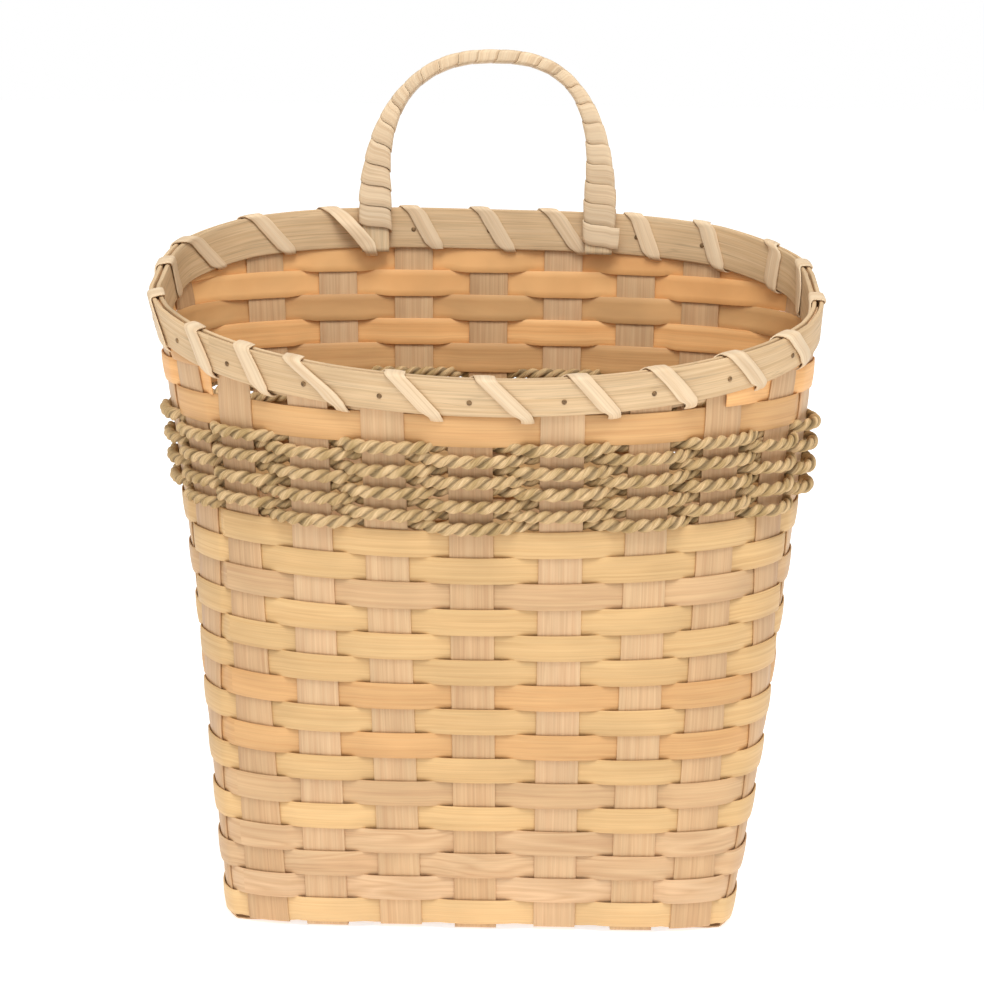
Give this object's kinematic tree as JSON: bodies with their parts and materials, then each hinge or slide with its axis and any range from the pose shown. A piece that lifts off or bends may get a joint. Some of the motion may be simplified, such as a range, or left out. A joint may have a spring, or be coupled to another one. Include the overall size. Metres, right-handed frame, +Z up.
{
  "type": "wall basket",
  "caption": "Tall woven splint basket with a sloping lashed rim, a seagrass rope band and a wrapped loop handle to hang it by.",
  "frame": {"origin": "middle of the bounding box's underside, on the surface that the base stands on", "axes": "+Z up, -Y to the low front of the rim, +Y to the high back that goes to the wall, +X to the right seen from the front"},
  "size_m": [0.3108, 0.2038, 0.3917],
  "materials": {
    "stake_splint": "satin, fine straight grain",
    "weaver_golden": "satin, golden splint with fine grain along the strip",
    "weaver_peach": "satin, pinkish splint with fine grain along the strip",
    "weaver_yellow": "satin, pale yellow splint with fine grain along the strip",
    "seagrass": "matt twisted two-ply grass cord",
    "rim_wood": "satin, pale straight-grained wood",
    "lashing_cane": "satin pale cane strip",
    "handle_wood": "satin carved wood",
    "handle_cane": "satin wrapped strip",
    "nail_steel": "dull dark steel"
  },
  "bodies": {
    "root": {"stake_long_1": "stake_splint", "stake_long_2": "stake_splint", "stake_long_3": "stake_splint", "stake_long_4": "stake_splint", "stake_long_5": "stake_splint", "stake_long_6": "stake_splint", "stake_long_7": "stake_splint", "stake_cross_1": "stake_splint", "stake_cross_2": "stake_splint", "stake_cross_3": "stake_splint", "stake_cross_4": "stake_splint", "weaver_01": "weaver_golden", "weaver_02": "weaver_yellow", "weaver_03": "weaver_peach", "weaver_04": "weaver_golden", "weaver_05": "weaver_yellow", "weaver_06": "weaver_peach", "weaver_07": "weaver_golden", "weaver_08": "weaver_yellow", "weaver_09": "weaver_peach", "weaver_10": "weaver_golden", "weaver_11": "weaver_yellow", "weaver_12": "weaver_peach", "weaver_13": "weaver_golden", "weaver_14": "weaver_yellow", "weaver_15": "weaver_peach", "weaver_16": "weaver_golden", "weaver_17": "weaver_yellow", "short_weaver_1": "weaver_peach", "short_weaver_2": "weaver_golden", "short_weaver_3": "weaver_yellow", "short_weaver_4": "weaver_peach", "seagrass_rope_1": "seagrass", "seagrass_rope_2": "seagrass", "seagrass_rope_3": "seagrass", "seagrass_rope_4": "seagrass", "seagrass_rope_5": "seagrass", "seagrass_rope_6": "seagrass", "seagrass_rope_7": "seagrass", "seagrass_rope_8": "seagrass", "rim_band_outer": "rim_wood", "rim_band_inner": "rim_wood", "rim_lashing": "lashing_cane", "handle_core": "handle_wood", "handle_wrap": "handle_cane", "nail_front_1": "nail_steel", "nail_front_2": "nail_steel", "nail_front_3": "nail_steel", "nail_front_4": "nail_steel", "nail_front_5": "nail_steel", "nail_front_6": "nail_steel", "nail_front_7": "nail_steel", "nail_left": "nail_steel", "nail_right": "nail_steel", "nail_back_3": "nail_steel", "nail_back_4": "nail_steel", "nail_back_6": "nail_steel", "nail_back_7": "nail_steel"}
  },
  "joints": []
}
